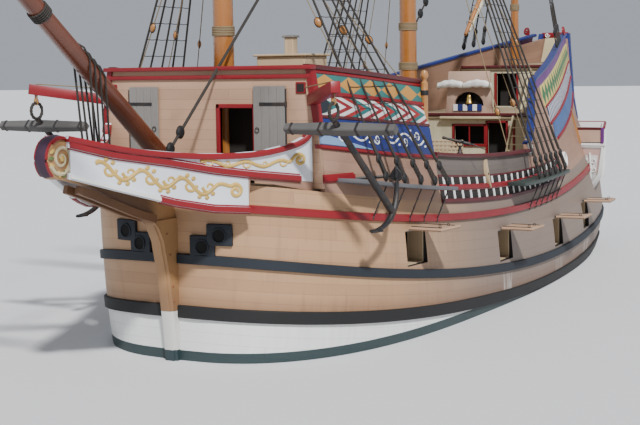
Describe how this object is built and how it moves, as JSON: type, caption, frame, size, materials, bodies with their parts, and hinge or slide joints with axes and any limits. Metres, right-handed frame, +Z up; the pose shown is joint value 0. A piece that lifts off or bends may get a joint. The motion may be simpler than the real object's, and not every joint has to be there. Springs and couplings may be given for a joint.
{
  "type": "three-masted merchant ship of the early 17th century",
  "caption": "Three-masted wooden merchant ship with a beakhead, high forecastle, gunports with raised lids, stern gallery, furled sails and painted upper works.",
  "frame": {"origin": "on the centreline at the waterline, amidships", "axes": "+Z up, +X to port, -Y towards the bow"},
  "size_m": [14.4, 35.8686, 30.3],
  "materials": {
    "lid_wood": "painted planks",
    "hull_planks": "tan painted planks, slightly worn",
    "stem_wood": "ochre painted timber",
    "upper_works": "painted planks with coloured bands",
    "cream_paint": "flat cream paint on timber",
    "weathered_wood": "bare grey weathered timber",
    "deck_planks": "bare scrubbed deck planks",
    "white_paint": "white painted timber",
    "red_paint": "satin red paint",
    "iron": "black iron",
    "black_paint": "black painted timber",
    "rope": "tarred rope",
    "bowsprit_wood": "dark varnished spar",
    "mast_wood": "amber varnished pine",
    "canvas": "cream sailcloth",
    "tan_rope": "new hemp rope",
    "brass": "cast brass",
    "copper": "copper bolt heads",
    "blue_paint": "deep blue paint",
    "carving": "cream and white painted carving",
    "block_wood": "oiled wood of blocks and posts"
  },
  "bodies": {
    "ship": {"anchor_port": "iron", "anchor_stbd": "iron", "beakhead_deck": "weathered_wood", "belfry": "stem_wood", "bowsprit": "bowsprit_wood", "cathead_port": "red_paint", "cathead_stbd": "red_paint", "fore_channel_port": "black_paint", "fore_channel_stbd": "black_paint", "fore_stay": "rope", "fore_top": "stem_wood", "fore_topmast": "mast_wood", "forecastle_back": "cream_paint", "forecastle_deck": "deck_planks", "forecastle_front": "upper_works", "forecastle_side_port": "upper_works", "forecastle_side_stbd": "upper_works", "foremast": "mast_wood", "half_deck": "deck_planks", "half_deck_bulkhead": "cream_paint", "head_side_port": "white_paint", "head_side_stbd": "white_paint", "hull": "hull_planks", "keel": "hull_planks", "main_channel_port": "black_paint", "main_channel_stbd": "black_paint", "main_deck": "deck_planks", "main_stay": "rope", "main_top": "stem_wood", "main_topmast": "mast_wood", "mainmast": "mast_wood", "mizzen_stay": "rope", "mizzenmast": "mast_wood", "poop_bulkhead": "cream_paint", "poop_deck": "deck_planks", "quarter_side_port": "upper_works", "quarter_side_stbd": "upper_works", "stem": "stem_wood", "stern_gallery": "white_paint", "transom": "upper_works", "waist_bulwark_port": "upper_works", "waist_bulwark_stbd": "upper_works"},
    "fore_topsail_yard_body": {"fore_topsail_yard": "mast_wood"},
    "fore_yard_body": {"fore_yard": "mast_wood"},
    "forecastle_door_port_body": {"forecastle_door_port": "weathered_wood"},
    "forecastle_door_stbd_body": {"forecastle_door_stbd": "weathered_wood"},
    "gunport_lid_port_1_body": {"gunport_lid_port_1": "lid_wood"},
    "gunport_lid_port_2_body": {"gunport_lid_port_2": "lid_wood"},
    "gunport_lid_port_3_body": {"gunport_lid_port_3": "lid_wood"},
    "gunport_lid_port_4_body": {"gunport_lid_port_4": "lid_wood"},
    "gunport_lid_stbd_1_body": {"gunport_lid_stbd_1": "lid_wood"},
    "gunport_lid_stbd_2_body": {"gunport_lid_stbd_2": "lid_wood"},
    "gunport_lid_stbd_3_body": {"gunport_lid_stbd_3": "lid_wood"},
    "gunport_lid_stbd_4_body": {"gunport_lid_stbd_4": "lid_wood"},
    "main_topsail_yard_body": {"main_topsail_yard": "mast_wood"},
    "main_yard_body": {"main_yard": "mast_wood"},
    "mizzen_yard_body": {"mizzen_yard": "mast_wood"},
    "rudder_body": {"rudder": "hull_planks"},
    "spritsail_yard_body": {"spritsail_yard": "bowsprit_wood"}
  },
  "joints": [
    {"name": "rudder_turn", "type": "hinge", "parent": "ship", "child": "rudder_body", "pos_m": [0, 11.35, 0], "axis": [0, 0.158, 0.9874], "range_deg": [-35, 35]},
    {"name": "gunport_lid_port_1_close", "type": "hinge", "parent": "ship", "child": "gunport_lid_port_1_body", "pos_m": [3.61033, -6.75, 2.53805], "axis": [0.0601, 0.9982, 0], "range_deg": [0, 83]},
    {"name": "gunport_lid_stbd_1_close", "type": "hinge", "parent": "ship", "child": "gunport_lid_stbd_1_body", "pos_m": [-3.61033, -6.75, 2.53805], "axis": [0.0601, -0.9982, 0], "range_deg": [0, 83]},
    {"name": "gunport_lid_port_2_close", "type": "hinge", "parent": "ship", "child": "gunport_lid_port_2_body", "pos_m": [3.7385, -1.75, 2.01402], "axis": [-0.018, 0.9998, 0], "range_deg": [0, 83]},
    {"name": "gunport_lid_stbd_2_close", "type": "hinge", "parent": "ship", "child": "gunport_lid_stbd_2_body", "pos_m": [-3.7385, -1.75, 2.01402], "axis": [-0.018, -0.9998, 0], "range_deg": [0, 83]},
    {"name": "gunport_lid_port_3_close", "type": "hinge", "parent": "ship", "child": "gunport_lid_port_3_body", "pos_m": [3.46614, 2.9, 1.83206], "axis": [-0.0946, 0.9955, 0], "range_deg": [0, 82]},
    {"name": "gunport_lid_stbd_3_close", "type": "hinge", "parent": "ship", "child": "gunport_lid_stbd_3_body", "pos_m": [-3.46614, 2.9, 1.83206], "axis": [-0.0946, -0.9955, 0], "range_deg": [0, 82]},
    {"name": "gunport_lid_port_4_close", "type": "hinge", "parent": "ship", "child": "gunport_lid_port_4_body", "pos_m": [3.0075, 6.6, 1.94163], "axis": [-0.1419, 0.9899, 0], "range_deg": [0, 81]},
    {"name": "gunport_lid_stbd_4_close", "type": "hinge", "parent": "ship", "child": "gunport_lid_stbd_4_body", "pos_m": [-3.0075, 6.6, 1.94163], "axis": [-0.1419, -0.9899, 0], "range_deg": [0, 81]},
    {"name": "forecastle_door_port_open", "type": "hinge", "parent": "ship", "child": "forecastle_door_port_body", "pos_m": [2.065, -9.8453, 4.8], "axis": [0, 0, 1], "range_deg": [0, 90]},
    {"name": "forecastle_door_stbd_open", "type": "hinge", "parent": "ship", "child": "forecastle_door_stbd_body", "pos_m": [-2.065, -9.8453, 4.8], "axis": [0, 0, -1], "range_deg": [0, 90]},
    {"name": "fore_yard_brace", "type": "hinge", "parent": "ship", "child": "fore_yard_body", "pos_m": [0, -9.06, 11.675], "axis": [0, 0, 1], "range_deg": [-25, 25]},
    {"name": "fore_topsail_yard_brace", "type": "hinge", "parent": "ship", "child": "fore_topsail_yard_body", "pos_m": [0, -9.49, 16.175], "axis": [0, 0, 1], "range_deg": [-25, 25]},
    {"name": "main_yard_brace", "type": "hinge", "parent": "ship", "child": "main_yard_body", "pos_m": [0, 0.2, 13.775], "axis": [0, 0, 1], "range_deg": [-25, 25]},
    {"name": "main_topsail_yard_brace", "type": "hinge", "parent": "ship", "child": "main_topsail_yard_body", "pos_m": [0, -0.23, 18.975], "axis": [0, 0, 1], "range_deg": [-25, 25]},
    {"name": "mizzen_yard_brace", "type": "hinge", "parent": "ship", "child": "mizzen_yard_body", "pos_m": [0, 8.2, 10.475], "axis": [0, 0, 1], "range_deg": [-20, 20]},
    {"name": "spritsail_yard_brace", "type": "hinge", "parent": "ship", "child": "spritsail_yard_body", "pos_m": [0, -17.8, 8.9], "axis": [0, 0, 1], "range_deg": [-20, 20]}
  ]
}
